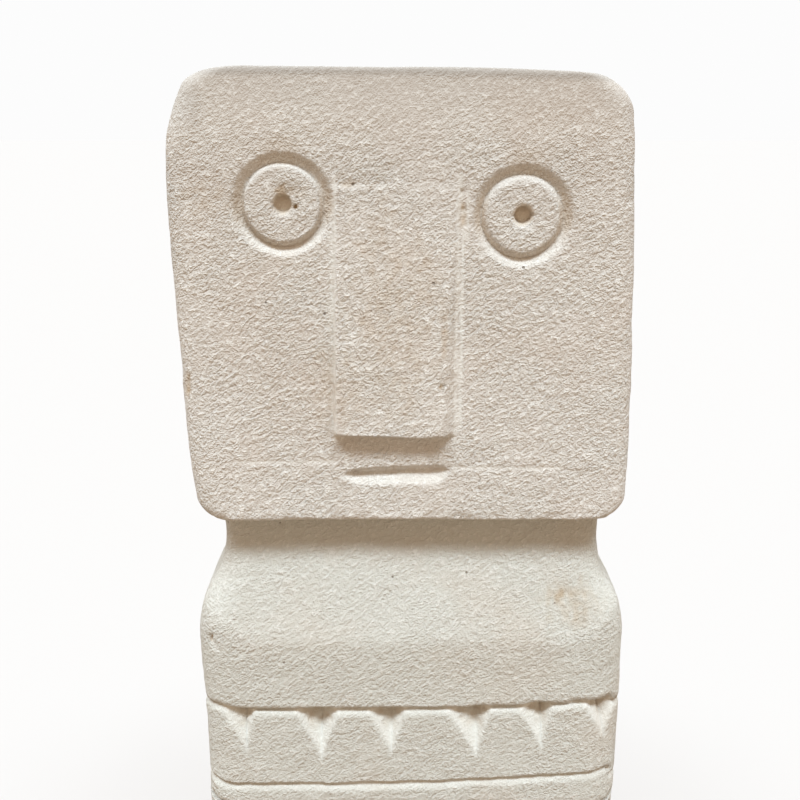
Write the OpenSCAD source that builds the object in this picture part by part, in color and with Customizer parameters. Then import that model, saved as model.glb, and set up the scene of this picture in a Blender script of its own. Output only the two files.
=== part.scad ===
// Carved stone figure: a square head on a block body, standing on four felt pads.
// Origin at the middle of the footprint, on the surface it stands on. The face looks to -Y.

/* [Overall] */
// Height from the surface to the top of the head
total_h = 401; // [361:1:461]
// Thickness of the felt pads under the base
pad_t = 3; // [2:0.5:5]

/* [Head] */
// Width of the head
head_w = 125; // [116:1:134]
// Depth of the head from face to back
head_d = 98; // [90:1:104]
// Height of the head
head_h = 125; // [117:1:133]
// Radius of the head's top corners
head_top_r = 11; // [6:1:16]
// Radius of the head's lower corners
head_low_r = 7; // [4:1:10]
// Radius of the head's upright edges
head_edge_r = 7; // [4:1:12]
// Radius of the head's level edges, in front and behind
head_face_r = 2; // [1.5:0.5:6]
// How far the top of the head leans to its right-hand side
head_lean = 3; // [0:0.5:4]
// How much lower the top of the head is on its left-hand side
head_drop = 1.5; // [0:0.5:4]

/* [Eyes] */
// Diameter of the ring cut round each eye
eye_d = 26; // [20:0.5:30]
// Width of the ring groove
ring_w = 2.8; // [1.5:0.1:4]
// Depth of the ring groove
ring_t = 2.5; // [1:0.1:3.5]
// Diameter of the drilled pupil
pupil_d = 5.5; // [3:0.1:8]
// Depth of the drilled pupil
pupil_t = 3; // [2:0.5:8]
// Distance of the left eye from the centre line
eye_left_x = 34.8; // [28:0.1:40]
// Distance of the right eye from the centre line
eye_right_x = 29.5; // [26:0.1:36]
// Left eye below the top of the head
eye_left_drop = 34.9; // [29:0.1:41]
// Right eye below the top of the head
eye_right_drop = 37.9; // [29:0.1:41]

/* [Nose and mouth] */
// Length of the nose
nose_len = 70.5; // [60:0.5:76]
// Width of the nose at its foot
nose_w = 33; // [26:0.5:38]
// Height of the nose above the face at its lower end
nose_t = 4.5; // [3:0.5:8]
// Top of the nose below the top of the head
nose_drop = 29; // [25:1:35]
// Middle of the nose from the centre line
nose_x = -5; // [-8:0.1:2]
// Width of the mouth
mouth_w = 29.5; // [20:0.5:36]
// Height of the mouth cut
mouth_h = 6.4; // [4:0.2:8]
// Mouth below the top of the head
mouth_drop = 111; // [108:0.5:114]

/* [Body] */
// Width of the body
body_w = 130; // [121:1:133]
// Depth of the body
body_d = 98; // [90:1:104]
// Radius of the body's upright edges
body_edge_r = 10; // [6:1:14]
// How far the neck is cut in from the body all round
neck_in = 8; // [5:0.5:12]
// Height of the straight part of the neck
neck_h = 13; // [8:1:20]
// Height of the sloping shoulders
shoulder_h = 26; // [18:1:30]

/* [Carved bands] */
// Height of each toothed band, from groove to groove
band_h = 26.5; // [23:0.5:30]
// Height of a cut groove
groove_h = 2.6; // [1.5:0.1:4]
// Depth of a cut groove
groove_t = 2.2; // [1:0.1:3]
// Length of a notch
notch_h = 16; // [10:0.5:18]
// Width of a notch at its top
notch_w = 11; // [6:0.5:12]
// Depth of a notch
notch_t = 6; // [2:0.5:7]

/* [Arms and legs] */
// Height of the relief of the arms
arm_t = 4; // [2:0.5:6]
// Width of an arm
arm_w = 19; // [14:1:22]
// How far the arm shows on the side of the body
arm_side_d = 42; // [30:1:50]
// Gap between the fingertips of the two hands
hand_gap = 7; // [4:0.5:12]
// Length of the cuts between the fingers
finger_l = 15; // [8:1:18]
// Width of the groove between the legs
leg_gap = 7; // [4:0.5:10]
// Depth of the groove between the legs
leg_groove_t = 8; // [4:0.5:12]
// How far the legs are cut in from the body
leg_in = 5; // [3:0.5:8]
// How far the feet stand out in front of the legs
foot_l = 9; // [5:0.5:11]
// Height of a foot
foot_h = 15; // [10:1:20]
// Height of the slab under the feet
slab_h = 20; // [14:1:24]
// Width of the slab
slab_w = 136; // [134:1:142]
// Depth of the slab
slab_d = 116; // [113:1:122]

/* [Felt pads] */
// Diameter of a felt pad
pad_d = 22; // [16:1:26]
// Felt pad's centre in from the sides of the slab
pad_in = 20; // [16:1:24]

/* [Hidden] */
$fn = 64;
eps = 0.2;
stone_colour = [0.81, 0.78, 0.71];
felt_colour = [0.16, 0.15, 0.14];
head_low_z = total_h - head_h;
neck_low_z = head_low_z - neck_h;
chest_top_z = neck_low_z - shoulder_h;
neck_w = body_w - 2 * neck_in;
neck_d = body_d - 2 * neck_in;
steps = 12;
face_y = -head_d / 2;
chest_y = -body_d / 2;
nose_low_z = total_h - nose_drop - nose_len;
nose_root = 2;
nose_slope = 1;
nose_flanks = [1, 3.5];
upper_groove_z = chest_top_z - 21.5;
lower_groove_z = upper_groove_z - band_h;
arm_top_z = lower_groove_z - 8;
front_notches = [-51, -28, -6, 20, 40, 58];
back_notches = [-52, -31, -9, 13, 34, 54];
side_notches = [-33, -12, 10, 31];
belt_rim = 6;
belt_top_z = arm_top_z - 62;
leg_top_z = belt_top_z - 2 * belt_rim - band_h;
hand_z = belt_top_z + 20;
wrist_z = hand_z - arm_w / 2 + 3;
fingers = 4;
finger_cut = 1.5;
leg_w = body_w - 2 * leg_in;
leg_d = body_d - 2 * leg_in;

// Rectangle with round corners, centred
module round_rect(w, d, r) {
  square([w - 2 * r, d], center = true);
  square([w, d - 2 * r], center = true);
  for (x = [-1, 1], y = [-1, 1])
    translate([x * (w / 2 - r), y * (d / 2 - r)]) circle(r = r);
}

// Upright block with round upright edges, standing at height z
module block(w, d, r, z, h) {
  translate([0, 0, z]) linear_extrude(h) round_rect(w, d, r);
}

// Shape drawn in the XZ plane, extruded from y0 towards the back by depth
module from_front(y0, depth) {
  translate([0, y0 + depth, 0]) rotate([90, 0, 0]) linear_extrude(depth) children();
}

// Outline of the head seen from the front; its top leans towards -X
module head_outline() {
  low_r = head_low_r;
  top_r = head_top_r;
  half = head_w / 2;
  polygon([
    [-half, low_r], [-half + low_r, 0], [half - low_r, 0], [half, low_r],
    [half - head_lean, head_h - head_drop - top_r], [half - head_lean - top_r, head_h - head_drop],
    [-half - head_lean + top_r, head_h], [-half - head_lean, head_h - top_r]
  ]);
  for (x = [-1, 1]) translate([x * (half - low_r), low_r]) circle(r = low_r);
  translate([half - head_lean - top_r, head_h - head_drop - top_r]) circle(r = top_r);
  translate([-half - head_lean + top_r, head_h - top_r]) circle(r = top_r);
}

// Plan of the head, wide enough to take its lean
module head_plan() {
  translate([-head_lean / 2, 0]) round_rect(head_w + head_lean, head_d, head_edge_r);
}

// Outline of the head seen from the side
module head_side() {
  translate([0, head_h / 2]) round_rect(head_d, head_h, head_face_r);
}

module head_block() {
  translate([0, 0, head_low_z]) intersection() {
    from_front(-head_d / 2, head_d) head_outline();
    linear_extrude(head_h) head_plan();
    rotate([90, 0, 90]) translate([0, 0, -body_w]) linear_extrude(2 * body_w) head_side();
  }
}

// Ring and drilled pupil of one eye, as the solid that is cut away
module eye_cut(x, drop) {
  translate([x, face_y, total_h - drop]) rotate([90, 0, 0]) {
    translate([0, 0, -ring_t]) difference() {
      cylinder(d = eye_d, h = ring_t + eps);
      translate([0, 0, -eps]) cylinder(d = eye_d - 2 * ring_w, h = ring_t + 3 * eps);
    }
    translate([0, 0, -pupil_t]) cylinder(d = pupil_d, h = pupil_t + eps);
  }
}

// Wedge nose: flush with the face at its top, with a steep lower end
module nose() {
  half = nose_w / 2;
  root_y = face_y + nose_root;
  front_y = face_y - nose_t;
  intersection() {
    translate([-nose_w, 0, 0]) rotate([90, 0, 90]) linear_extrude(2 * nose_w)
      polygon([
        [root_y, nose_low_z + nose_len], [face_y, nose_low_z + nose_len],
        [front_y, nose_low_z + nose_slope], [face_y, nose_low_z], [root_y, nose_low_z]
      ]);
    translate([nose_x, 0, nose_low_z]) linear_extrude(nose_len)
      polygon([
        [-half, root_y], [half, root_y], [half, face_y],
        [half - nose_flanks[1], front_y], [-half + nose_flanks[0], front_y], [-half, face_y]
      ]);
  }
}

// Straight mouth with a V section, as the solid that is cut away
module mouth_cut() {
  half = mouth_h / 2;
  translate([nose_x - mouth_w / 2, face_y, total_h - mouth_drop])
    rotate([90, 0, 90]) linear_extrude(mouth_w)
      polygon([[-eps, -half - eps], [-eps, half + eps], [half, 0]]);
}

// Side of the neck and shoulder: hollow below the head, then a rounded slope to the chest
function shoulder_side(half) = [
  for (i = [0 : steps])
    let (a = 180 * i / steps)
    [half + neck_in * (1 - cos(a)) / 2, neck_low_z - shoulder_h * i / steps]
];

// Outline of the neck and shoulders, with the half width of the neck given
module shoulder_outline(half) {
  side = shoulder_side(half);
  top = [half, head_low_z + head_low_r];
  low = [half + neck_in, chest_top_z - 1];
  right = concat([top], side, [low]);
  left = [for (i = [len(right) - 1 : -1 : 0]) [-right[i][0], right[i][1]]];
  polygon(concat(right, left));
}

module shoulders() {
  intersection() {
    from_front(-body_d / 2, body_d) shoulder_outline(neck_w / 2);
    rotate([90, 0, 90]) translate([0, 0, -body_w / 2]) linear_extrude(body_w)
      shoulder_outline(neck_d / 2);
    block(body_w, body_d, body_edge_r, chest_top_z - 1, total_h - chest_top_z);
  }
}

// Groove that runs round a block, as the solid that is cut away
module groove_ring(z, w, d) {
  translate([0, 0, z - groove_h]) linear_extrude(groove_h) difference() {
    square([w + 20, d + 20], center = true);
    round_rect(w - 2 * groove_t, d - 2 * groove_t, body_edge_r - groove_t);
  }
}

// One pointed notch that hangs from a groove: deep at the groove, running out at its tip
module notch(x, z, y0) {
  translate([x, y0, z]) intersection() {
    rotate([90, 0, 0]) translate([0, 0, -notch_t]) linear_extrude(notch_t + eps)
      polygon([[-notch_w / 2, 0.1], [notch_w / 2, 0.1], [0, -notch_h]]);
    rotate([90, 0, 90]) translate([0, 0, -notch_w]) linear_extrude(2 * notch_w)
      polygon([[-2 * eps, 1], [notch_t, 1], [notch_t, 0], [0, -notch_h], [-2 * eps, -notch_h]]);
  }
}

// Row of notches across one face, unevenly spaced as a carver sets them out by eye
module notch_row(places, z, y0) {
  for (x = places) notch(x, z, y0);
}

// Toothed band: two grooves, with notches below the upper one on all four faces
module band_cut(top_z, low_z) {
  z = top_z - groove_h;
  groove_ring(top_z, body_w, body_d);
  groove_ring(low_z, body_w, body_d);
  notch_row(front_notches, z, -body_d / 2);
  rotate([0, 0, 180]) notch_row(back_notches, z, -body_d / 2);
  for (turn = [90, -90]) rotate([0, 0, turn]) notch_row(side_notches, z, -body_w / 2);
}

// Front of one arm: upper arm, elbow, forearm and a hand whose fingers meet the other hand
module arm_outline() {
  half = body_w / 2;
  elbow_z = hand_z - arm_w / 2;
  polygon([
    [half - arm_w, arm_top_z], [half + eps, arm_top_z], [half + eps, elbow_z],
    [half - arm_w / 2, elbow_z - 3], [hand_gap / 2, wrist_z],
    [hand_gap / 2, wrist_z + arm_w], [half - arm_w, elbow_z + arm_w]
  ]);
}

// Arm in relief, wrapped round the upright edge of the body
module arm() {
  half = body_w / 2;
  relief = arm_t + eps;
  intersection() {
    block(body_w, body_d, body_edge_r, belt_top_z - eps, arm_top_z - belt_top_z + eps);
    difference() {
      union() {
        from_front(chest_y, relief) arm_outline();
        translate([half - body_edge_r, chest_y, hand_z - arm_w / 2])
          cube([body_edge_r, arm_side_d, arm_top_z - hand_z + arm_w / 2]);
      }
      for (i = [1 : fingers - 1])
        translate([hand_gap / 2 - eps, chest_y - eps, wrist_z + i * arm_w / fingers])
          cube([finger_l, finger_cut, finger_cut]);
    }
  }
}

// Belly: set back from the chest and the belt, so that the arms stand out from it
module belly() {
  block(body_w - 2 * arm_t, body_d - 2 * arm_t, body_edge_r - 2,
    belt_top_z - eps, arm_top_z - belt_top_z + 2 * eps);
}

module torso() {
  difference() {
    union() {
      block(body_w, body_d, body_edge_r, arm_top_z, chest_top_z - arm_top_z);
      block(body_w, body_d, body_edge_r, leg_top_z, belt_top_z - leg_top_z);
    }
    band_cut(upper_groove_z, lower_groove_z);
    band_cut(belt_top_z - belt_rim, belt_top_z - belt_rim - band_h);
  }
  belly();
  for (side = [0, 1]) mirror([side, 0, 0]) arm();
}

// Legs: one block, parted by an upright groove in front and behind
module legs() {
  z = pad_t + slab_h;
  difference() {
    block(leg_w, leg_d, body_edge_r - 2, z - eps, leg_top_z - z + 2 * eps);
    for (y = [-leg_d / 2, leg_d / 2])
      translate([-leg_gap / 2, y - leg_groove_t, z])
        cube([leg_gap, 2 * leg_groove_t, leg_top_z - z - 6]);
  }
}

// One foot that stands out in front of its leg
module foot() {
  inner = leg_gap / 2;
  z = pad_t + slab_h;
  translate([inner, 0, z - eps]) rotate([90, 0, 90]) linear_extrude(leg_w / 2 - inner)
    polygon([
      [-leg_d / 2 + 1, 0], [-leg_d / 2 - foot_l, 0], [-leg_d / 2 - foot_l, foot_h / 2],
      [-leg_d / 2 - foot_l / 2, foot_h], [-leg_d / 2 + 1, foot_h]
    ]);
}

// Slab that the figure stands on, cut from the same block
module slab() {
  block(slab_w, slab_d, body_edge_r, pad_t, slab_h);
}

module stone_figure() {
  color(stone_colour) union() {
    difference() {
      union() {
        head_block();
        nose();
      }
      eye_cut(-eye_left_x, eye_left_drop);
      eye_cut(eye_right_x, eye_right_drop);
      mouth_cut();
    }
    shoulders();
    torso();
    legs();
    for (side = [0, 1]) mirror([side, 0, 0]) foot();
    slab();
  }
}

// Self-adhesive felt disc under one corner of the foot block
module felt_pad(side_x, side_y) {
  color(felt_colour)
    translate([side_x * (slab_w / 2 - pad_in), side_y * (slab_d / 2 - pad_in), 0])
      cylinder(d = pad_d, h = pad_t);
}

stone_figure();
felt_pad(-1, -1);  // felt_pad_front_left
felt_pad(1, -1);  // felt_pad_front_right
felt_pad(-1, 1);  // felt_pad_back_left
felt_pad(1, 1);  // felt_pad_back_right
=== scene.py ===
import math

import bpy
import numpy as np
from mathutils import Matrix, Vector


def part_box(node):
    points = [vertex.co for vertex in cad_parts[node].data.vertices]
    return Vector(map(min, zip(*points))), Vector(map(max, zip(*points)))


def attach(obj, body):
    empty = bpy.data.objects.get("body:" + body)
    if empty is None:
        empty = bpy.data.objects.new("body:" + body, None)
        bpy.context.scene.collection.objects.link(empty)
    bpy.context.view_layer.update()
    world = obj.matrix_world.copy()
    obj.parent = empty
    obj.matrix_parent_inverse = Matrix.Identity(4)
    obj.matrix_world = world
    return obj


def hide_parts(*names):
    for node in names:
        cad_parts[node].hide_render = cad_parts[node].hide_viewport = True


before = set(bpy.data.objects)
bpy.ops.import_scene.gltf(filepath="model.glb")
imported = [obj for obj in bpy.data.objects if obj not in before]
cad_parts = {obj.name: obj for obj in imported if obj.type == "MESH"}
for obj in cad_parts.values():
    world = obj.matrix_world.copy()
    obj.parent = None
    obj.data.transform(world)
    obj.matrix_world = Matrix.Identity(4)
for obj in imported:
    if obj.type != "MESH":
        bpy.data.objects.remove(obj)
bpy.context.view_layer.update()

# The figure is carved from one block. Its shape is worked out here in millimetres, in the
# CAD model's frame, as rings round an upright outline, and turned to metres at the end.
MM = 0.001
stone_low, stone_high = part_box("stone_figure")

# Heights and half widths of the carved piece, close to those of the CAD solid
TOP = stone_high.z / MM
FOOT = stone_low.z / MM
SLAB_A, SLAB_B = stone_high.x / MM, stone_high.y / MM
SLAB_TOP = FOOT + 20
HEAD_H, HEAD_B = 125.0, 49.0
CHIN = TOP - HEAD_H
NECK_LOW = CHIN - 13
CHEST_TOP = NECK_LOW - 26
BODY_A, BODY_B = 64.9, 49.0
BAND_TOP = CHEST_TOP - 22.1
BAND_H = 26.2
ARM_TOP = BAND_TOP - BAND_H - 8.4
BELT_TOP = ARM_TOP - 62
BELT_BAND = BELT_TOP - 6
LEG_TOP = BELT_TOP - 12 - BAND_H
ARM_T = 4.0
HAND_Z = BELT_TOP + 22
LEG_A, LEG_B = BODY_A - 5, BODY_B - 5
NECK_A, NECK_B = 56.6, 39.9

# The head's sides, each as height and distance from the figure's middle
HEAD_LEFT = ((CHIN + 7, 62.9), (CHIN + 14, 63.8), (CHIN + 40, 65.7), (CHIN + 66, 66.2),
             (TOP - 34, 66.8), (TOP - 17, 66.1), (TOP, 65.2))
HEAD_RIGHT = ((CHIN + 7, 62.6), (CHIN + 23, 62.8), (CHIN + 49, 61.8), (CHIN + 83, 60.7),
              (TOP - 18, 59.3), (TOP, 58.9))
HEAD_LOW_R, HEAD_TOP_RIGHT_R = 7.0, 12.2
# The worn top left corner: a long facet that curves in, and a rounding above it
FACET_H, FACET_W, FACET_POWER = 22.5, 6.5, 1.85
ROUND_H, ROUND_W = 4.4, 9.5
# The right side is rubbed in under its top corner: distance below the top, reach, depth
RUB_Z, RUB_REACH, RUB_T = 11.5, 3.2, 0.4
# How much lower the crown is at its right end
CROWN_DROP = 1.8

# Each eye: across, height, radius of its disc and of its pupil
EYES = ((-35.0, TOP - 34.7, 9.9, 2.5), (29.3, TOP - 37.7, 9.3, 2.8))
# The ring groove: radius of its valley and outer edge, depth, how far its valley hangs low
EYE_VALLEY, EYE_OUT, EYE_T, EYE_SAG = 11.1, 13.9, 2.5, 0.1
# How far the ring lies below the pupil, and the pupil's depth
RING_LOW, PUPIL_T = 0.35, 2.5
# Nose and mouth: their edges, depths, the nose's right flank and the mouth's slope
NOSE_TOP, NOSE_LOW, NOSE_T = TOP - 30, TOP - 99.2, 4.4
NOSE_LEFT, NOSE_RIGHT, NOSE_FLANK = -20.8, 11.7, 3.4
MOUTH_LEFT, MOUTH_RIGHT, MOUTH_Z = -19.4, 10.0, TOP - 110.4
MOUTH_UP, MOUTH_DOWN, MOUTH_T, MOUTH_RISE = 1.8, 3.4, 2.5, 0.05

# Notches that hang from a band: place of the valley, width to its left and right, length
FRONT_NOTCHES = ((-50.9, 9, 4, 17.4), (-27.8, 9.4, 6.6, 18.6), (-6.1, 8.8, 5, 17.3),
                 (20, 10.8, 5.2, 19), (40, 8.6, 4.2, 17), (59.5, 9, 4, 15))
BACK_NOTCHES = ((-52, 4.5, 6, 15), (-31, 6, 7, 17), (-9, 5, 5, 16),
                (13, 5, 7.5, 18), (34, 5, 5.5, 16), (54, 4.5, 5, 15))
SIDE_NOTCHES = ((-33, 6.5, 4.5, 16), (-12, 5.5, 6.5, 15), (10, 6.5, 4, 17), (31, 5, 5.5, 15.5))
# Greatest depth of a notch, at the groove it hangs from
NOTCH_T = 7.8
# The grooves above and below a band: depth, and how far their bevel reaches down
UPPER_GROOVE, LOWER_GROOVE = (2.2, 2.9), (1.5, 3.2)

# Chips, pits and stains on the front: place, height, reach across and up, depth, dirt
MARKS = (
    (-33.4, TOP - 31.7, 4.8, 2.5, 0.5, 0.42),
    (-31.4, TOP - 35.6, 0.6, 0.6, 1.2, 1.0),
    (48.5, CHEST_TOP + 10.5, 10, 8, 0.05, 0.18),
    (44.7, CHEST_TOP + 13.5, 4.6, 2.8, 0.3, 0.42),
    (-60.6, CHEST_TOP + 0.5, 0.9, 1.0, 1.6, 1.0),
    (13.2, TOP - 37, 1.6, 6.0, 0.35, 0.45),
    (12.9, TOP - 31.5, 0.9, 0.9, 0.9, 0.7),
    (8.5, TOP - 70, 1.5, 6.5, 0.3, 0.35),
    (8.0, TOP - 84, 0.9, 0.7, 0.8, 0.7),
    (-55, TOP - 33, 9, 7, 0.0, 0.13),
    (-17, TOP - 29.5, 3.2, 1.6, 0.2, 0.2),
    (-21, TOP - 85, 12, 14, 0.0, 0.15),
    (-63.5, TOP - 85, 1.5, 5.0, 0.5, 0.5),
    (-5, TOP - 66, 15, 36, 0.0, 0.18),
)
# Hairline scratches on the front: across and up at each end, depth
SCRATCHES = (
    (-49, TOP - 107, -22, TOP - 107, 0.3), (12, TOP - 108.8, 42, TOP - 108.8, 0.3),
    (-21, TOP - 30, 13, TOP - 30.7, 0.15), (-60.8, CHEST_TOP + 0.2, -58.2, CHEST_TOP - 3.4, 0.5),
    (13.3, TOP - 36, 13.3, TOP - 97, 0.4), (-21.9, TOP - 33, -22.6, TOP - 98, 0.3),
    (14.5, TOP - 31, 14.5, TOP - 44, 0.3), (12.6, TOP - 27, 12.6, TOP - 37, 0.25),
)

GRID = 1.0


# ---------------------------------------------------------------- helpers

def smooth(low, high, v):
    t = np.clip((v - low) / (high - low), 0, 1)
    return t * t * (3 - 2 * t)


def lattice(ix, iy, iz, seed):
    """A fixed pseudo-random value from -1 to 1 for each whole-number point."""
    mask = 0xFFFFFFFF
    h = (ix * 374761393 + iy * 668265263 + iz * 1442695041 + seed * 974634777) & mask
    h = ((h ^ (h >> 13)) * 1274126177) & mask
    return ((h ^ (h >> 16)) & 0xFFFF) / 32767.5 - 1


def noise(p, size, seed):
    """Smooth noise from about -1 to 1 at points p, with lumps of about the given size."""
    q = p / size + seed * 17.31
    cell = np.floor(q).astype(np.int64)
    f = q - cell
    f = f * f * f * (f * (f * 6 - 15) + 10)
    total = 0
    for dx in (0, 1):
        for dy in (0, 1):
            for dz in (0, 1):
                weight = np.ones(len(p))
                for axis, d in enumerate((dx, dy, dz)):
                    weight = weight * (f[:, axis] if d else 1 - f[:, axis])
                total = total + weight * lattice(cell[:, 0] + dx, cell[:, 1] + dy, cell[:, 2] + dz, seed)
    return total


def graded(low, high, step):
    """Marks from low to high, whose spacing at each place is step(place)."""
    marks = [low]
    while marks[-1] < high:
        marks.append(marks[-1] + step(marks[-1]))
    marks = np.array(marks)
    return low + (marks - low) * (high - low) / (marks[-1] - low)


def rounded_path(points, step):
    """Points along a polyline whose corners are rounded; each point ends with its rounding."""
    pts = [np.array(p[:-1], float) for p in points]
    trims = [p[-1] for p in points]
    path = []
    for i in range(len(pts) - 1):
        run = pts[i + 1] - pts[i]
        length = np.linalg.norm(run[:3])
        a = pts[i] + run * trims[i] / length
        b = pts[i + 1] - run * trims[i + 1] / length
        count = max(1, round(np.linalg.norm((b - a)[:3]) / step((a[2] + b[2]) / 2)))
        path += [a + (b - a) * k / count for k in range(count + 1)]
        if i + 2 < len(pts) and trims[i + 1] > 0:
            after = pts[i + 2] - pts[i + 1]
            c = pts[i + 1] + after * trims[i + 1] / np.linalg.norm(after[:3])
            count = max(3, round(1.6 * trims[i + 1] / step(pts[i + 1][2])))
            for k in range(1, count):
                t = k / count
                path.append((1 - t) ** 2 * b + 2 * t * (1 - t) * pts[i + 1] + t * t * c)
    path = np.array(path)
    moved = np.linalg.norm(np.diff(path[:, :3], axis=0), axis=1) > 0.02
    return path[np.concatenate([[True], moved])]


# ---------------------------------------------------------------- the block's outline

def row_step(z):
    """Spacing of the rings: closest where the carving is finest."""
    if TOP - 52 < z < TOP - 18 or BAND_TOP - 33 < z < BAND_TOP + 2:
        return 0.52 * GRID
    if CHIN < z < NOSE_LOW + 4:
        return 0.55 * GRID
    if LEG_TOP < z < BELT_TOP:
        return 0.8 * GRID
    return 1.1 * GRID


def corner(past, radius, power):
    """How far an edge has turned in, where past is how far it has come round the corner."""
    t = np.clip(past / radius, 0, 1)
    return radius * (1 - (1 - t ** power) ** (1 / power))


def head_side(z):
    """Half width and middle of the head at a height; its top leans to the viewer's left."""
    left = np.interp(z, *zip(*HEAD_LEFT)) - corner(CHIN + HEAD_LOW_R - z, HEAD_LOW_R, 2)
    right = np.interp(z, *zip(*HEAD_RIGHT)) - corner(CHIN + HEAD_LOW_R - z, HEAD_LOW_R, 2)
    left = left - FACET_W * np.clip(1 - (TOP - z) / FACET_H, 0, 1) ** FACET_POWER
    left = left - corner(z - (TOP - ROUND_H), ROUND_H, 2) * ROUND_W / ROUND_H
    right = right - corner(z - (TOP - HEAD_TOP_RIGHT_R), HEAD_TOP_RIGHT_R, 2)
    right = right - RUB_T * np.exp(-((TOP - z - RUB_Z) / RUB_REACH) ** 2)
    return (left + right) / 2, (right - left) / 2


def body_rows():
    """Rings of the slab, legs, belt, belly, chest and neck: half x, half y, z, shift, edge radius."""
    e = 2.2
    belly_a, belly_b = BODY_A - ARM_T, BODY_B - ARM_T
    points = [
        (SLAB_A - 5, SLAB_B - 5, FOOT, 0, 6, 0), (SLAB_A, SLAB_B, FOOT, 0, 8, 2.5),
        (SLAB_A, SLAB_B, SLAB_TOP, 0, 8, 3), (LEG_A, LEG_B, SLAB_TOP, 0, 7, e),
        (LEG_A, LEG_B, LEG_TOP, 0, 7, e), (BODY_A, BODY_B, LEG_TOP, 0, 11, e),
        (BODY_A, BODY_B, BELT_TOP, 0, 11, e), (belly_a, belly_b, BELT_TOP, 0, 8, 1.8),
        (belly_a, belly_b, ARM_TOP, 0, 8, 1.8), (BODY_A, BODY_B, ARM_TOP, 0.3, 11, e),
        (BODY_A, BODY_B, BAND_TOP - 2, 0.3, 12, 3), (BODY_A + 0.5, BODY_B, CHEST_TOP + 2, -0.1, 12, 3),
        (BODY_A - 1.5, BODY_B, CHEST_TOP + 11, 0, 12, 4), (58.3, BODY_B, NECK_LOW - 7.5, -0.3, 11, 4),
        (NECK_A, BODY_B, NECK_LOW + 2, 0.1, 9, 4), (NECK_A, BODY_B, CHIN - 3, 0.1, 7, 2.5),
        (NECK_A + 1.6, BODY_B, CHIN - 0.2, 0.1, 7, 0), (NECK_A + 1.8, BODY_B, CHIN, 0.1, 7, 0),
    ]
    return rounded_path(points, row_step)


def shoulder_scale(x, z):
    """How far the shoulders and neck are drawn in, front and back: a flat slope whose lower
    edge rises towards the corners."""
    start = CHEST_TOP + 10 * smooth(0.74 * BODY_A, 1.0 * BODY_A, np.abs(x))
    run = z - start
    run = (run + np.sqrt(run ** 2 + 1.2)) / 2
    full = NECK_LOW - start
    over = run - full
    run = full + (over - np.sqrt(over ** 2 + 5)) / 2
    return 1 - (BODY_B - NECK_B) * run / full / BODY_B


def head_rows():
    """Rings of the head, from the underside's edge to the edge of the top."""
    edge_low, edge_top = 1.4, 1.2
    low = CHIN + HEAD_LOW_R * (1 - np.cos(np.linspace(0, 1, 14) * np.pi / 2))
    low[0] = CHIN + 0.02
    side = graded(CHIN + HEAD_LOW_R, TOP - 5, row_step)[1:]
    top = TOP - 5 * (1 - np.sin(np.linspace(0, 1, 14) * np.pi / 2)[1:])
    z = np.concatenate([low, side, top])
    half, shift = head_side(z)
    half = np.where(z < CHIN + HEAD_LOW_R, np.maximum(half, NECK_A + 2.1), half)
    b = HEAD_B - corner(CHIN + edge_low - z, edge_low, 2) - corner(z - (TOP - edge_top), edge_top, 2)
    radius = np.full(len(z), 6.5)
    ledge = [NECK_A + 1.9, NECK_B + 1.2, CHIN + 0.012, 0.1, 7]
    return np.concatenate([[ledge], np.stack([half, b, z, shift, radius], 1)])


def column_step(x):
    """Spacing of the upright lines across the front: closest through the eyes."""
    return GRID * (0.52 if 16 < abs(x) < 48 else 0.66)


HALF_FRONT = 61.0
columns = graded(-HALF_FRONT, HALF_FRONT, column_step) / HALF_FRONT
depths = graded(-1, 1, lambda y: 1.4 * GRID / 47)
NX, NY = len(columns) - 1, len(depths) - 1
RING = 2 * NX + 2 * NY


def side_points(s, flat, other, r):
    """Along one side of a round-cornered rectangle, from corner middle to corner middle:
    place along the side, distance out, and the outward direction's two parts."""
    run = s * (flat - r + r * math.pi / 4)
    past = np.clip(np.abs(run) - (flat - r), 0, None) / max(r, 0.01)
    sign = np.sign(run)
    along = np.where(past > 0, sign * (flat - r + r * np.sin(past)), run)
    out = other - r * (1 - np.cos(past))
    return along, out, sign * np.sin(past), np.cos(past)


def ring(row):
    """One ring's points and outward directions, anticlockwise from the front left corner."""
    a, b, z, shift, r = row
    fx, fo, fnx, fno = side_points(columns, a, b, r)
    sy, so, sny, sno = side_points(depths, b, a, r)
    x = np.concatenate([fx[:-1], so[:-1], -fx[:-1], -so[:-1]]) + shift
    y = np.concatenate([-fo[:-1], sy[:-1], fo[:-1], -sy[:-1]])
    nx = np.concatenate([fnx[:-1], sno[:-1], -fnx[:-1], -sno[:-1]])
    ny = np.concatenate([-fno[:-1], sny[:-1], fno[:-1], -sny[:-1]])
    return np.stack([x, y, np.full(RING, z)], 1), np.stack([nx, ny, np.zeros(RING)], 1)


# ---------------------------------------------------------------- the carving

def snap_circle(x, z, centre, radius, reach):
    """Moves points near a circle onto it, so that the mesh has an edge along it."""
    dx, dz = x - centre[0], z - centre[1]
    r = np.maximum(np.hypot(dx, dz), 1e-6)
    near = np.abs(r - radius) < reach
    k = np.where(near, radius / r, 1)
    return centre[0] + dx * k, centre[1] + dz * k


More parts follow.
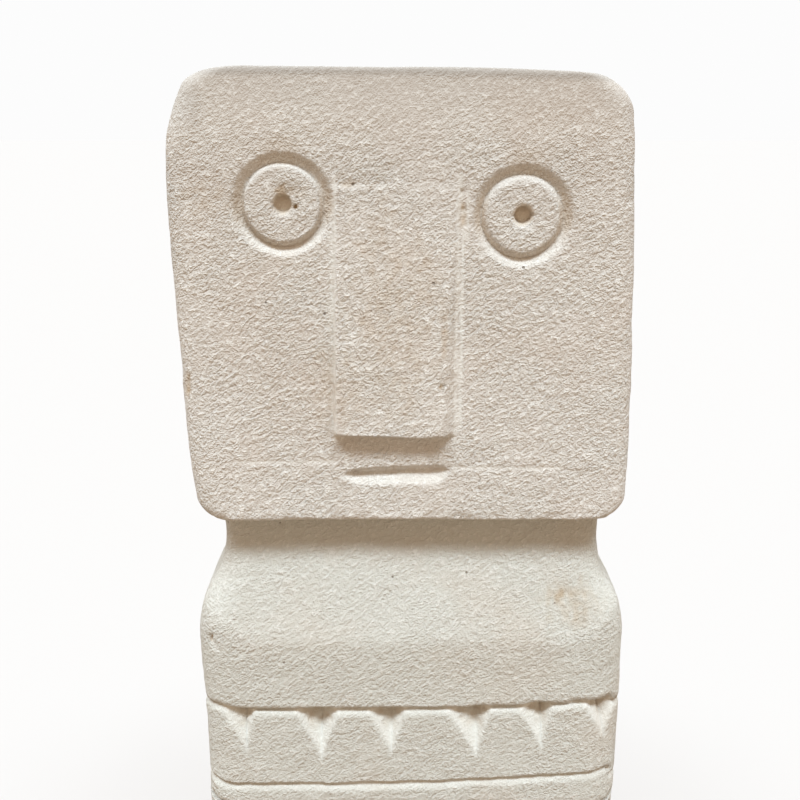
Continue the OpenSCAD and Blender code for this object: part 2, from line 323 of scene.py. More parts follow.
def eye_depth(x, z, eye, wobble):
    """Ring groove and drilled pupil of one eye: the groove is steep inside, sloping outside.
    Returns the depth; how pale each point is painted, from fresh cuts and from painted light on the
    walls that face up and in the pupil; and the painted shade on the walls that face down, at the ring's
    sides and brown in the pupil."""
    across_x, up, disc_r, pupil_r = eye
    dx, dz = x - across_x, z - up
    r = np.hypot(dx, dz)
    ring_r = np.hypot(dx, dz + RING_LOW)
    rough_r = ring_r + 0.15 * wobble
    fall = -(dz + RING_LOW) / np.maximum(ring_r, 1)
    valley = EYE_VALLEY + EYE_SAG * fall
    outer = EYE_OUT - EYE_SAG * fall
    inside = (rough_r - disc_r) / (valley - disc_r)
    outside = (outer - rough_r) / (outer - valley)
    across = np.clip(np.minimum(inside, outside), 0, 1)
    groove = EYE_T * across
    hole = PUPIL_T * (1 - smooth(pupil_r - 0.4, pupil_r + 0.02, r))
    bevel = 0.9 * (1 - smooth(pupil_r, pupil_r + 1.5, r)) * (1 - smooth(-2.5, 1, dz))
    upward = np.where(ring_r > valley, fall, -fall)
    cut = np.clip(across * 2, 0, 1)
    # Painted light: walls that face up are painted paler than walls that face down, on top of the fresh
    # cut; the pupil is painted pale to lighten the shade in the hole.
    fresh_and_painted_light = np.maximum(cut * (0.1 + 0.45 * smooth(0.1, 0.7, upward)), (r < pupil_r + 0.3) * 1.0)
    # Painted shade: walls that face down and the ring's sides are painted darker, and the pupil brown,
    # for the warm shade in the hole.
    dust_and_shade = 0.27 * cut * (1 - smooth(0.1, 0.5, upward))
    dust_and_shade += 0.12 * cut * (1 - smooth(0.3, 0.7, np.abs(fall)))
    dust_and_shade = np.maximum(dust_and_shade, 0.5 * (1 - smooth(pupil_r - 0.2, pupil_r + 0.5, r)))
    return groove + hole + bevel, fresh_and_painted_light, dust_and_shade


def nose_relief(x, z, wobble):
    """How far the nose stands out of the face, and how near a point is to its crisp edges."""
    full = np.clip((NOSE_TOP - z) / (NOSE_TOP - NOSE_LOW), 0, 1)
    low = NOSE_LOW + 0.4 * wobble + 0.0015 * (x + 5) ** 2
    rise = (0.25 + (NOSE_T - 0.25) * full) * smooth(low - 1.1, low + 0.7, z)
    left = NOSE_LEFT - 0.8 * full
    right = NOSE_RIGHT - NOSE_FLANK * full
    left_side = np.clip((x - (left - 0.2 - 0.8 * full)) / (0.2 + 0.8 * full), 0, 1)
    right_side = np.clip((NOSE_RIGHT + 0.2 - x) / (NOSE_RIGHT + 0.2 - right), 0, 1)
    length = (z > NOSE_LOW - 2) & (z < NOSE_TOP + 3)
    line = np.clip(1 - np.abs(x - (left - 0.3)) / 0.8, 0, 1) * length
    line = np.maximum(line, 0.8 * np.clip(1 - np.abs(x - NOSE_RIGHT - 0.2) / 0.7, 0, 1) * length)
    return rise * np.minimum(left_side, right_side) * (z < NOSE_TOP), line


def mouth_depth(x, z):
    """Groove of the mouth, steep above and sloping below, rounded at its ends and rising a
    little to the right; and which points are on its upper side."""
    tilt = MOUTH_RISE * (x - (MOUTH_LEFT + MOUTH_RIGHT) / 2)
    middle = MOUTH_Z + tilt
    ends = smooth(MOUTH_LEFT - 0.3, MOUTH_LEFT + 3.5, x)
    ends = ends * (1 - smooth(MOUTH_RIGHT - 3, MOUTH_RIGHT + 0.4, x))
    reach = np.where(z > middle, MOUTH_UP, MOUTH_DOWN + tilt) * (0.4 + 0.6 * ends)
    v = np.clip(1 - np.abs(z - middle) / reach, 0, 1)
    return MOUTH_T * v * np.sqrt(ends), z > middle


def groove_depth(below, depth, reach):
    """A cut with a level ceiling and a bevel that runs out below it."""
    ceiling = smooth(-0.15, 0.45, below)
    bevel = 1 - smooth(0.3, reach, below) ** 0.8
    return depth * ceiling * np.clip(bevel, 0, 1)


def notch_depth(along, below, notches):
    """Chip-carved notches: two facets that meet in a valley, deepest at the groove."""
    total = np.zeros(len(along))
    for place, left, right, length in notches:
        s = np.clip(below / length, 0, 1)
        offset = along - place
        taper = (1 - s) ** 1.25
        width = np.where(offset < 0, left, right) * taper + 0.01
        v = np.clip(1 - np.abs(offset) / width, 0, 1)
        deep = np.minimum(NOTCH_T * (1 + 0.9 * s), 1.6 * min(left, right)) * taper
        total = np.maximum(total, deep * v * smooth(-0.15, 0.45, below))
    return total


def band_depth(p, n, top, height, wander):
    """One toothed band: a groove above with its notches, and a groove below."""
    x, y = p[:, 0], p[:, 1]
    front, back = smooth(0.55, 0.8, -n[:, 1]), smooth(0.55, 0.8, n[:, 1])
    level = 0.015 * (x + 4) + 0.00045 * (x + 4) ** 2
    below = top + level * front + 0.35 * wander - p[:, 2]
    low_level = 0.03 * (x + 4) + 0.0006 * (x + 4) ** 2
    low_below = top - height + low_level * front + 0.35 * wander - p[:, 2]
    notch = notch_depth(x, below, FRONT_NOTCHES) * smooth(0.2, 0.5, -n[:, 1])
    notch = np.maximum(notch, notch_depth(-x, below, BACK_NOTCHES) * back)
    side = np.clip(1 - front - back, 0, 1) * smooth(0.6, 0.85, np.abs(n[:, 0]))
    notch = np.maximum(notch, notch_depth(y * np.sign(x), below, SIDE_NOTCHES) * side)
    upper = groove_depth(below, *UPPER_GROOVE)
    lower = groove_depth(low_below, *LOWER_GROOVE)
    fresh_and_painted_light = 0.5 * np.clip(notch / 0.6, 0, 1) + 0.45 * np.clip(upper + lower, 0, 1)
    patch = noise(p, 1.8, 8)
    near_top = 1 - smooth(6.5, 9.5, below - 0.4 * wander)
    # Painted shade: the upper part of each notch, where the chest's edge shades it, is painted brown and
    # darker, with soil.
    notch_dust_and_shade = (0.18 + 0.18 * patch) * smooth(0.8, 3.0, notch) * near_top
    broken = 0.7 * patch * smooth(0.8, 2.5, notch) * (1 - smooth(5.0, 8.0, below))
    return np.maximum(upper, notch) + lower + broken, fresh_and_painted_light, notch_dust_and_shade


def arm_relief(p, n):
    """How far the arms and hands stand out of the belly."""
    u, y, z = np.abs(p[:, 0]), p[:, 1], p[:, 2]
    bevel = 1.6
    inner = BODY_A - 19
    upper_front = np.minimum(u - inner, z - (HAND_Z - 9))
    middle = HAND_Z + 5 - 6 * smooth(14, 60, u)
    half = 9.2 + 1.2 * (1 - smooth(14, 24, u)) - 0.8 * smooth(20, 34, u) * (1 - smooth(40, 56, u))
    forearm = np.minimum(half - np.abs(z - middle), u - 3.4)
    front = np.maximum(upper_front, forearm)
    side = np.minimum(-7 - y, z - (HAND_Z - 10))
    facing = smooth(0.55, 0.85, np.abs(n[:, 0]))
    distance = np.where(n[:, 1] > 0.3, -5, front * (1 - facing) + side * facing)
    mask = smooth(-0.2, bevel, distance)
    fingers = np.zeros(len(u))
    for k in (-1, 0, 1):
        gap = np.abs(z - (HAND_Z + 5 + k * 5.0))
        fingers = np.maximum(fingers, np.clip(1 - gap / 0.9, 0, 1) * (1 - smooth(15, 18, u)))
    return (ARM_T - 1.3 * fingers * (n[:, 1] < -0.7)) * mask


def leg_depth(p, n):
    """Upright groove between the legs, in front and behind; negative where the feet stand out."""
    u, z = np.abs(p[:, 0]), p[:, 2]
    on_leg = smooth(SLAB_TOP + 0.5, SLAB_TOP + 2.5, z) * (1 - smooth(LEG_TOP - 9, LEG_TOP - 4, z))
    split = 7.5 * np.clip(1 - u / 5.0, 0, 1) ** 0.8 * on_leg * (np.abs(n[:, 1]) > 0.7)
    t = np.clip((z - SLAB_TOP) / 15, 0, 1)
    width = smooth(3.2, 5.5, u) * (1 - smooth(LEG_A - 5, LEG_A - 1, u))
    foot = 9.5 * np.sqrt(np.clip(1 - t ** 2.4, 0, 1)) * width
    toes = np.zeros(len(u))
    for place in (16, 27, 38, 48):
        toes = np.maximum(toes, np.clip(1 - np.abs(u - place) / 1.1, 0, 1))
    foot = foot - 1.3 * toes * (1 - smooth(0.55, 0.8, t)) * (foot > 3)
    foot = foot * (n[:, 1] < -0.6) * (z > SLAB_TOP + 0.2) * (z < LEG_TOP)
    return split - foot


def carve(p, n):
    """Moves the block's points in or out along their directions. Returns the points, how
    pale each one is painted (fresh cuts, with painted light on walls that face up and in the pupils),
    how soiled or painted with shade, and how far the head is painted in shade towards its top."""
    x, z = p[:, 0].copy(), p[:, 2].copy()
    face = (n[:, 1] < -0.999) & (z > CHIN + 3)
    rows = np.flatnonzero((z[::RING] < CHEST_TOP - 6) & (z[::RING] > LEG_TOP + 4))
    front = x.reshape(-1, RING)[:, :NX + 1]
    for notch in FRONT_NOTCHES:
        front[rows, np.abs(front[rows] - notch[0]).argmin(1)] = notch[0]
    for across, up, disc_r, pupil_r in EYES:
        for radius, sag in ((pupil_r - 0.4, 0), (pupil_r, 0), (disc_r, RING_LOW),
                            (EYE_VALLEY, RING_LOW + EYE_SAG), (EYE_OUT, RING_LOW - EYE_SAG)):
            sx, sz = snap_circle(x, z, (across, up - sag), radius, 0.27 * GRID)
            x, z = np.where(face, sx, x), np.where(face, sz, z)
    p = np.stack([x, p[:, 1], z], 1)
    wobble = noise(p, 7.0, 3)
    wander = noise(p, 11.0, 4)
    fresh_and_painted_light = np.zeros(len(p))
    soil_and_shade = np.zeros(len(p))
    depth = np.zeros(len(p))
    on_face = (n[:, 1] < -0.9) & (z > CHIN + 2) & (z < TOP - 5)
    for eye in EYES:
        # new is how pale a point is painted: fresh cut, with painted light on the ring's walls that face
        # up and in the pupil.
        cut, new, dust_and_shade = eye_depth(x, z, eye, wobble)
        away = np.hypot(x - eye[0], z - eye[1])
        near = on_face & (away < 18)
        depth += cut * near
        # Brown over the top of each ring and just above it: painted shade on the ring's upper wall, with
        # dust above the eye.
        over = np.hypot((x - eye[0]) / 1.2, z - eye[1] - EYE_OUT) / 6
        dust_and_shade = np.maximum(dust_and_shade, 0.2 * (1 - smooth(0.2, 1, over)))
        soil_and_shade = np.maximum(soil_and_shade, dust_and_shade * near)
        fresh_and_painted_light = np.maximum(fresh_and_painted_light, new * near)
    mouth, lip = mouth_depth(x, z)
    mouth = mouth * on_face
    # Painted light: the mouth's lower wall, which faces up, is painted paler than its upper wall, which
    # faces down; partly fresh cut.
    fresh_and_painted_light = np.maximum(fresh_and_painted_light, np.clip(mouth / 0.5, 0, 1) * np.where(lip, 0.05, 0.35))
    nose, line = nose_relief(x, z, wobble)
    fresh_and_painted_light = np.maximum(fresh_and_painted_light, line * on_face)
    depth += mouth - nose * on_face
    for place, low_z, reach_x, reach_z, sunk, dirt in MARKS:
        inside = np.hypot((x - place) / reach_x, (z - low_z) / reach_z) + 0.35 * noise(p, 2.5, 5)
        here = (1 - smooth(0.3, 1.1, inside)) * (n[:, 1] < -0.2)
        depth += sunk * here
        soil_and_shade = np.maximum(soil_and_shade, dirt * here * (1 + 0.9 * noise(p, 1.4, 6)))
    for x0, z0, x1, z1, sunk in SCRATCHES:
        dx, dz = x1 - x0, z1 - z0
        t = np.clip(((x - x0) * dx + (z - z0) * dz) / (dx * dx + dz * dz), 0, 1)
        off = np.hypot(x - x0 - t * dx, z - z0 - t * dz) + 0.15 * wobble
        here = np.clip(1 - off / 0.7, 0, 1) * (n[:, 1] < -0.5)
        depth += sunk * here
        fresh_and_painted_light = np.maximum(fresh_and_painted_light, min(0.9, 2.4 * sunk) * here)
    for top in (BAND_TOP, BELT_BAND):
        near = (z < top + 6) & (z > top - BAND_H - 8)
        cut, new, notch_dust_and_shade = band_depth(p, n, top, BAND_H, wander)
        depth += cut * near
        fresh_and_painted_light = np.maximum(fresh_and_painted_light, new * near)
        soil_and_shade = np.maximum(soil_and_shade, notch_dust_and_shade * near)
    belly = (z > BELT_TOP + 0.4) & (z < ARM_TOP - 0.2)
    depth -= arm_relief(p, n) * belly
    depth += leg_depth(p, n) * (z < LEG_TOP)
    # Painted shade: the head is painted greyer and darker towards its top, most on the rounding of the
    # crown and at its upper corners.
    crown_shade = (0.14 * smooth(TOP - 50, TOP - 25, z) + 0.22 * smooth(TOP - 16, TOP - 2, z)
            + 0.6 * smooth(TOP - 3, TOP - 0.8, z))
    crown_shade = np.maximum(crown_shade, 0.5 * smooth(TOP - 22, TOP - 8, z) * smooth(50, 58, np.abs(x)))
    p = p - n * depth[:, None]
    # The soles go a little way into the slab, so that no gap shows under the feet
    sole = (depth < -1) & (z > SLAB_TOP) & (z < SLAB_TOP + 1.4)
    p[:, 2] = np.where(sole, SLAB_TOP - 1.3, p[:, 2])
    shoulder = (z > CHEST_TOP - 6) & (z < CHIN + 0.01)
    p[:, 1] *= np.where(shoulder, shoulder_scale(p[:, 0], p[:, 2]), 1)
    drop = CROWN_DROP * np.clip((p[:, 0] + 22) / 83, 0, 1) ** 1.7
    p[:, 2] -= drop * smooth(TOP - 22, TOP - 2, p[:, 2])
    return p, np.clip(fresh_and_painted_light, 0, 1), soil_and_shade, crown_shade


# ---------------------------------------------------------------- the stone's mesh

def cap_points(edge):
    """Fills a ring with a grid of points, as a surface spanned between its four sides."""
    front, right = edge[:NX + 1], edge[NX:NX + NY + 1]
    back = edge[NX + NY:2 * NX + NY + 1][::-1]
    left = np.concatenate([edge[2 * NX + NY:], edge[:1]])[::-1]
    s = ((columns + 1) / 2)[:, None, None]
    t = ((depths + 1) / 2)[None, :, None]
    across = (1 - t) * front[:, None] + t * back[:, None] + (1 - s) * left[None] + s * right[None]
    corners = ((1 - s) * (1 - t) * front[0] + s * (1 - t) * front[-1]
               + (1 - s) * t * back[0] + s * t * back[-1])
    return across - corners


def cap_index(ring_start, inner_start):
    """Vertex numbers of a cap's grid: ring vertices round its edge, new ones inside."""
    index = np.zeros((NX + 1, NY + 1), int)
    inner = np.arange((NX - 1) * (NY - 1)).reshape(NX - 1, NY - 1) + inner_start
    index[1:-1, 1:-1] = inner
    index[:, 0] = np.arange(NX + 1)
    index[NX, :] = NX + np.arange(NY + 1)
    index[:, NY] = NX + NY + NX - np.arange(NX + 1)
    index[0, :] = (2 * NX + NY + NY - np.arange(NY + 1)) % RING
    index[1:-1, 1:-1] -= ring_start
    return index + ring_start


def grid_faces(index):
    a, b = index[:-1, :-1].ravel(), index[1:, :-1].ravel()
    c, d = index[1:, 1:].ravel(), index[:-1, 1:].ravel()
    return np.stack([a, b, c, d], 1)


def vertex_normals(p, faces):
    cross = np.cross(p[faces[:, 2]] - p[faces[:, 0]], p[faces[:, 3]] - p[faces[:, 1]])
    total = np.zeros_like(p)
    for k in range(4):
        for axis in range(3):
            total[:, axis] += np.bincount(faces[:, k], cross[:, axis], len(p))
    return total / np.maximum(np.linalg.norm(total, axis=1), 1e-9)[:, None]


def weather(p, normals, fresh_and_painted_light):
    """The unevenness of hand work and the stone's own grain, as real relief."""
    x, z = p[:, 0], p[:, 2]
    streak = np.array([0.80, 0.25, 0.54])
    along = p @ streak
    squeezed = p - 0.35 * along[:, None] * streak
    swell = 0.45 * noise(p, 38.0, 11) + 0.22 * noise(p, 15.0, 12)
    rough = 0.17 * noise(squeezed, 3.4, 13) + 0.07 * noise(squeezed, 2.0, 14)
    patchy = 0.75 + 0.35 * noise(p, 19.0, 15)
    rubbed = 1 - 0.55 * smooth(TOP - 14, TOP - 4, z)
    on_slope = (z > CHEST_TOP - 4) & (z < CHIN)
    rough = rough * patchy * rubbed * (1 - 0.75 * fresh_and_painted_light) * np.where(on_slope, 0.7, 1)
    chin_edge = np.exp(-((z - CHIN - 1) / 1.5) ** 2) * (np.abs(p[:, 1]) > HEAD_B - 2.5)
    facing_out = smooth(0.35, 0.8, np.abs(normals[:, 1]))
    ragged = facing_out * chin_edge * (0.55 * noise(p, 4.2, 16) + 0.35 * noise(p, 2.0, 17))
    standing = smooth(FOOT, FOOT + 1.5, z)
    return p + normals * ((swell + rough) * standing + ragged)[:, None]


def build_stone():
    rows = np.concatenate([body_rows(), head_rows()])
    made = [ring(row) for row in rows]
    p = np.concatenate([m[0] for m in made])
    n = np.concatenate([m[1] for m in made])
    p, fresh_and_painted_light, soil_and_shade, crown_shade = carve(p, n)
    count = len(rows)
    ids = np.arange(count * RING).reshape(count, RING)
    ids = np.concatenate([ids, ids[:, :1]], 1)
    faces = [grid_faces(ids)[:, [0, 3, 2, 1]]]
    top = cap_points(p[-RING:])
    bottom = cap_points(p[:RING])
    start = len(p)
    inner = (NX - 1) * (NY - 1)
    faces.append(grid_faces(cap_index((count - 1) * RING, start)))
    faces.append(grid_faces(cap_index(0, start + inner))[:, ::-1])
    p = np.concatenate([p, top[1:-1, 1:-1].reshape(-1, 3), bottom[1:-1, 1:-1].reshape(-1, 3)])
    faces = np.concatenate(faces)
    fresh_and_painted_light = np.concatenate([fresh_and_painted_light, np.zeros(2 * inner)])
    soil_and_shade = np.concatenate([soil_and_shade, np.zeros(2 * inner)])
    # The top face takes the full painted shade of the crown.
    crown_shade = np.concatenate([crown_shade, np.ones(inner), np.zeros(inner)])
    p = weather(p, vertex_normals(p, faces), fresh_and_painted_light)
    mesh = bpy.data.meshes.new("carved_stone")
    mesh.from_pydata((p * MM).tolist(), [], faces.tolist())
    mesh.validate()
    mesh.shade_smooth()
    for name, values in (("fresh_cut_and_painted_light", fresh_and_painted_light), ("soil_and_shade", soil_and_shade), ("crown_shade", crown_shade)):
        mark = mesh.attributes.new(name, "FLOAT", "POINT")
        mark.data.foreach_set("value", values.astype(np.float32))
    piece = bpy.data.objects.new("carved_stone", mesh)
    bpy.context.scene.collection.objects.link(piece)
    print("stone mesh:", len(p), "points,", len(faces), "faces")
    return piece


# ---------------------------------------------------------------- materials

class Nodes:
    """Short ways to add and join shader nodes."""

    def __init__(self, name):
        self.material = bpy.data.materials.new(name)
        self.material.use_nodes = True
        self.tree = self.material.node_tree
        self.tree.nodes.clear()

    def add(self, kind, inputs=None, **settings):
        node = self.tree.nodes.new(kind)
        for key, value in settings.items():
            setattr(node, key, value)
        for key, value in (inputs or {}).items():
            self.put(node, key, value)
        return node

    def put(self, node, key, value):
        if isinstance(value, bpy.types.NodeSocket):
            self.tree.links.new(value, node.inputs[key])
        else:
            node.inputs[key].default_value = value

    def math(self, operation, a, b):
        return self.add("ShaderNodeMath", {0: a, 1: b}, operation=operation).outputs[0]

    def dot(self, vector, direction):
        node = self.add("ShaderNodeVectorMath", {0: vector, 1: direction}, operation="DOT_PRODUCT")
        return node.outputs["Value"]

    def noise(self, vector, scale, detail=2.0, rough=0.5, distortion=0.0):
        return self.add("ShaderNodeTexNoise", {
            "Vector": vector, "Scale": scale, "Detail": detail, "Roughness": rough,
            "Distortion": distortion}).outputs["Fac"]

    def ramp(self, value, low, high):
        """0 below low, 1 above high, smooth between."""
        node = self.add("ShaderNodeMapRange", {"Value": value, "From Min": low, "From Max": high},
                        interpolation_type="SMOOTHSTEP")
        return node.outputs["Result"]


def mix_inputs(nodes, factor, a, b):
    """Colour mix, for the three colour sockets of the Mix node."""
    node = nodes.tree.nodes.new("ShaderNodeMix")
    node.data_type = "RGBA"
    nodes.put(node, 0, factor)
    nodes.put(node, 6, a)
    nodes.put(node, 7, b)
    return node.outputs[2]


def limestone():
    """Soft cream limestone: a slanting grain with pits, painted highlights on its crests (partly pale
    stone), painted shade in its hollows (partly dust), soil mixed with painted shade, fresh pale cuts
    mixed with painted light, and painted shade towards the top of the head. Scales are in grains to the
    metre."""
    n = Nodes("limestone")
    place = n.add("ShaderNodeTexCoord").outputs["Object"]
    along = n.math("MULTIPLY", n.dot(place, (0.72, 0.25, 0.65)), 500.0)
    across = n.math("MULTIPLY", n.dot(place, (-0.67, 0.0, 0.74)), 880.0)
    inward = n.math("MULTIPLY", n.dot(place, (-0.19, 0.97, -0.17)), 760.0)
    streaks = n.add("ShaderNodeCombineXYZ", {0: along, 1: across, 2: inward}).outputs[0]
    swollen = n.math("SUBTRACT", n.noise(streaks, 1.0, detail=1.0), 0.5)
    leaning = n.math("SUBTRACT", across, n.math("MULTIPLY", swollen, 1.05))
    streaks = n.add("ShaderNodeCombineXYZ", {0: along, 1: leaning, 2: inward}).outputs[0]
    grain = n.noise(streaks, 1.0, detail=2.0, rough=0.55, distortion=0.2)
    lumps = n.noise(place, 1350.0, detail=1.5, rough=0.5)
    fine = n.noise(place, 2500.0, detail=1.0)
    patches = n.noise(place, 70.0, detail=2.0)
    height = n.math("ADD", n.math("MULTIPLY", grain, 0.70), n.math("MULTIPLY", lumps, 0.30))
    height = n.math("ADD", height, n.math("MULTIPLY", fine, 0.22))
    cells = n.add("ShaderNodeTexVoronoi", {"Vector": place, "Scale": 80.0}).outputs["Distance"]
    pits = n.ramp(cells, 0.040, 0.018)
    height = n.math("SUBTRACT", height, n.math("MULTIPLY", pits, 0.5))
    fresh_and_painted_light = n.add("ShaderNodeAttribute", attribute_name="fresh_cut_and_painted_light").outputs["Fac"]
    rise = n.add("ShaderNodeSeparateXYZ", {0: place}).outputs["Z"]
    crown = n.ramp(rise, (TOP - 30) * MM, (TOP - 6) * MM)
    on_head = n.ramp(rise, (CHIN - 1) * MM, (CHIN + 1) * MM)
    calm = n.math("SUBTRACT", 1.0, n.math("MULTIPLY", fresh_and_painted_light, 0.7))
    calm = n.math("MULTIPLY", calm, n.math("SUBTRACT", 1.0, n.math("MULTIPLY", crown, 0.5)))
    calm = n.math("MULTIPLY", calm, n.math("ADD", 0.85, n.math("MULTIPLY", on_head, 0.15)))
    strength = n.math("ADD", n.math("MULTIPLY", n.ramp(patches, 0.1, 0.75), 0.4), 0.6)
    strength = n.math("MULTIPLY", strength, calm)
    bump = n.add("ShaderNodeBump", {"Strength": strength, "Distance": 0.0026, "Height": height})

    tone = n.ramp(patches, 0.3, 0.7)
    body = mix_inputs(n, tone, (0.686, 0.674, 0.613, 1), (0.72, 0.708, 0.646, 1))
    head = mix_inputs(n, tone, (0.782, 0.741, 0.682, 1), (0.817, 0.786, 0.728, 1))
    base = mix_inputs(n, on_head, body, head)
    blush = n.ramp(n.noise(place, 30.0, detail=3.0), 0.5, 0.72)
    base = mix_inputs(n, n.math("MULTIPLY", blush, 0.2), base, (0.68, 0.55, 0.44, 1))
    # Painted highlight: the grain's crests are painted pale, more on the head; partly pale stone.
    bright = n.math("ADD", 0.4, n.math("MULTIPLY", on_head, 0.6))
    crest_highlights = n.math("MULTIPLY", n.ramp(height, 0.64, 0.75), bright)
    base = mix_inputs(n, crest_highlights, base, (0.95, 0.93, 0.88, 1))
    # Painted shade: the grain's hollows are painted darker and browner, partly dust.
    hollow_shade_and_dust = n.ramp(height, 0.58, 0.44)
    base = mix_inputs(n, n.math("MULTIPLY", hollow_shade_and_dust, 0.10), base, (0.55, 0.45, 0.36, 1))
    # Pale fresh cuts, with painted light on walls that face up and in the pupils.
    base = mix_inputs(n, n.math("MULTIPLY", fresh_and_painted_light, 0.85), base, (0.90, 0.89, 0.84, 1))
    # Soil and stains, with painted shade on walls that face down, in the rings, the notches and the
    # pupils.
    soil_and_shade = n.add("ShaderNodeAttribute", attribute_name="soil_and_shade").outputs["Fac"]
    base = mix_inputs(n, soil_and_shade, base, (0.52, 0.36, 0.19, 1))
    base = mix_inputs(n, n.math("MULTIPLY", pits, 0.7), base, (0.25, 0.19, 0.13, 1))
    # Painted shade: greyer and darker towards the top of the head.
    crown_shade = n.add("ShaderNodeAttribute", attribute_name="crown_shade").outputs["Fac"]
    base = mix_inputs(n, n.math("MULTIPLY", crown_shade, 0.7), base, (0.42, 0.39, 0.35, 1))
    shader = n.add("ShaderNodeBsdfPrincipled", {
        "Base Color": base, "Roughness": 0.93, "Specular IOR Level": 0.25,
        "Diffuse Roughness": 0.5, "Normal": bump.outputs[0]})
    out = n.add("ShaderNodeOutputMaterial")
    n.tree.links.new(shader.outputs[0], out.inputs["Surface"])
    return n.material


def felt():
    """Dark pressed wool felt."""
    n = Nodes("felt")
    place = n.add("ShaderNodeTexCoord").outputs["Object"]
    fibres = n.noise(place, 2600.0, detail=4.0, rough=0.7, distortion=2.0)
    tone = mix_inputs(n, n.ramp(fibres, 0.35, 0.7), (0.030, 0.028, 0.026, 1), (0.085, 0.078, 0.070, 1))
    bump = n.add("ShaderNodeBump", {"Strength": 0.8, "Distance": 0.0004, "Height": fibres})
    shader = n.add("ShaderNodeBsdfPrincipled", {
        "Base Color": tone, "Roughness": 0.95, "Sheen Weight": 0.5, "Sheen Roughness": 0.6,
        "Normal": bump.outputs[0]})
    out = n.add("ShaderNodeOutputMaterial")
    n.tree.links.new(shader.outputs[0], out.inputs["Surface"])
    return n.material


# ---------------------------------------------------------------- felt pads

def build_pad(node, material):
    """A pressed felt disc with soft edges and a slightly fuzzy rim, where the CAD disc is."""
    low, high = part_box(node)
    centre = (low + high) / 2
    radius, thick = (high.x - low.x) / 2, high.z - low.z
    around, edge = 72, thick * 0.28
    profile = [(0.0, 0.0)] + [(radius * k / 6 - edge * (k == 6), 0.0) for k in range(1, 7)]
    for k in range(1, 5):
        turn = k / 4 * math.pi / 2
        profile.append((radius - edge + edge * math.sin(turn), edge - edge * math.cos(turn)))
    profile += [(r, thick - z) for r, z in reversed(profile)]
    verts, faces = [], []
    for r, z in profile[1:-1]:
        for k in range(around):
            turn = 2 * math.pi * k / around
            verts.append((r * math.cos(turn), r * math.sin(turn), z))
    rings = len(profile) - 2
    for j in range(rings - 1):
        for k in range(around):
            m = (k + 1) % around
            faces.append((j * around + k, j * around + m, (j + 1) * around + m, (j + 1) * around + k))
    faces.append(tuple(reversed(range(around))))
    faces.append(tuple((rings - 1) * around + k for k in range(around)))
    p = np.array(verts)
    rim = np.hypot(p[:, 0], p[:, 1]) / radius
    fuzz = noise(p / MM + centre.x / MM, 0.9, 31) * 0.12 * MM * smooth(0.8, 1.0, rim)
    p[:, :2] *= (1 - np.abs(fuzz) / radius)[:, None]
    p += np.array([centre.x, centre.y, low.z])
    mesh = bpy.data.meshes.new(node.replace("pad", "disc"))
    mesh.from_pydata(p.tolist(), [], faces)
    mesh.shade_smooth()
    mesh.materials.append(material)
    piece = bpy.data.objects.new(mesh.name, mesh)
    bpy.context.scene.collection.objects.link(piece)
    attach(piece, "root")
    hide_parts(node)


# ---------------------------------------------------------------- stage, lights and camera

# The camera, in metres and degrees: left of the middle, before the face, below the crown, tilt
CAMERA_LEFT, CAMERA_AWAY, CAMERA_LOW, CAMERA_TILT = 0.0036, 0.2702, 0.0158, 15.1


def add_camera():
    """A 45 mm lens about 27 cm before the face, just below the crown, looking a little down."""
    data = bpy.data.cameras.new("camera")
    data.lens, data.sensor_width = 45.0, 36.0
    data.clip_start = 0.01
    camera = bpy.data.objects.new("camera", data)
    camera.location = (-CAMERA_LEFT, -HEAD_B * MM - CAMERA_AWAY, stone_high.z - CAMERA_LOW)
    camera.rotation_euler = (math.radians(90 - CAMERA_TILT), 0, 0)
    bpy.context.scene.collection.objects.link(camera)
    bpy.context.scene.camera = camera


def add_sun(name, azimuth, elevation, strength, colour, spread):
    """Soft parallel light from an azimuth (0 is in front of the face) and an elevation."""
    data = bpy.data.lights.new(name, "SUN")
    data.energy, data.color, data.angle = strength, colour, math.radians(spread)
    light = bpy.data.objects.new(name, data)
    light.rotation_euler = (math.radians(90 - elevation), 0, math.radians(azimuth))
    bpy.context.scene.collection.objects.link(light)


def add_lights():
    cool = (0.775, 0.90, 1.0)
    for azimuth in (-40, -20, 0, 20, 40):
        add_sun("key", azimuth, 57, 0.73, cool, 13)
    add_sun("left", -116, 35, 0.9, cool, 25)
    add_sun("right", 125, 35, 0.6, cool, 25)
    add_sun("behind", 180, 40, 1.1, cool, 25)


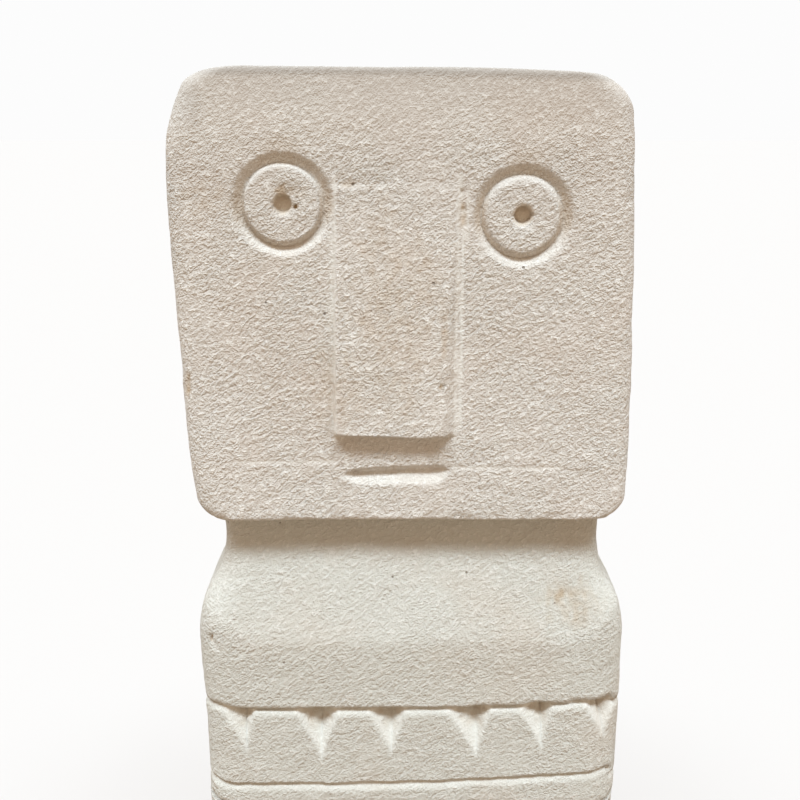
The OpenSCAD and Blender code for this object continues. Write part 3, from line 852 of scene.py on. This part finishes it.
def camera_only(tree, seen, hidden):
    """A shader that shows one colour to the camera and lights the scene with another."""
    path = tree.nodes.new("ShaderNodeLightPath")
    mix = tree.nodes.new("ShaderNodeMixShader")
    tree.links.new(path.outputs["Is Camera Ray"], mix.inputs[0])
    tree.links.new(hidden, mix.inputs[1])
    tree.links.new(seen, mix.inputs[2])
    return mix.outputs[0]


def add_world():
    world = bpy.data.worlds.new("studio")
    world.use_nodes = True
    tree = world.node_tree
    tree.nodes.clear()
    shown, lit = tree.nodes.new("ShaderNodeBackground"), tree.nodes.new("ShaderNodeBackground")
    shown.inputs[0].default_value = (0.975, 0.975, 0.975, 1)
    lit.inputs[0].default_value = (0.512, 0.380, 0.281, 1)
    out = tree.nodes.new("ShaderNodeOutputWorld")
    tree.links.new(camera_only(tree, shown.outputs[0], lit.outputs[0]), out.inputs["Surface"])
    bpy.context.scene.world = world


def add_floor():
    """Plain pale floor. It is bright to the camera and throws back only a little warm light."""
    n = Nodes("pale_floor")
    pale = n.add("ShaderNodeBsdfDiffuse", {"Color": (0.2814, 0.2694, 0.2575, 1)})
    glow = n.add("ShaderNodeEmission", {"Color": (1, 1, 1, 1), "Strength": 0.5185})
    seen = n.add("ShaderNodeAddShader", {0: pale.outputs[0], 1: glow.outputs[0]})
    warm = n.add("ShaderNodeBsdfDiffuse", {"Color": (0.31, 0.24, 0.178, 1)})
    out = n.add("ShaderNodeOutputMaterial")
    n.tree.links.new(camera_only(n.tree, seen.outputs[0], warm.outputs[0]), out.inputs["Surface"])
    size = 40.0
    mesh = bpy.data.meshes.new("floor")
    corners = [(-size, -size, 0), (size, -size, 0), (size, size, 0), (-size, size, 0)]
    mesh.from_pydata(corners, [], [(0, 1, 2, 3)])
    mesh.materials.append(n.material)
    floor = bpy.data.objects.new("floor", mesh)
    bpy.context.scene.collection.objects.link(floor)


# ---------------------------------------------------------------- put it together

add_camera()
add_world()
add_floor()
add_lights()
bpy.context.scene.view_settings.view_transform = "Standard"

stone = build_stone()
stone.data.materials.append(limestone())
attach(stone, "root")
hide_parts("stone_figure")

felt_material = felt()
for name in sorted(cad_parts):
    if name.startswith("felt_pad"):
        build_pad(name, felt_material)
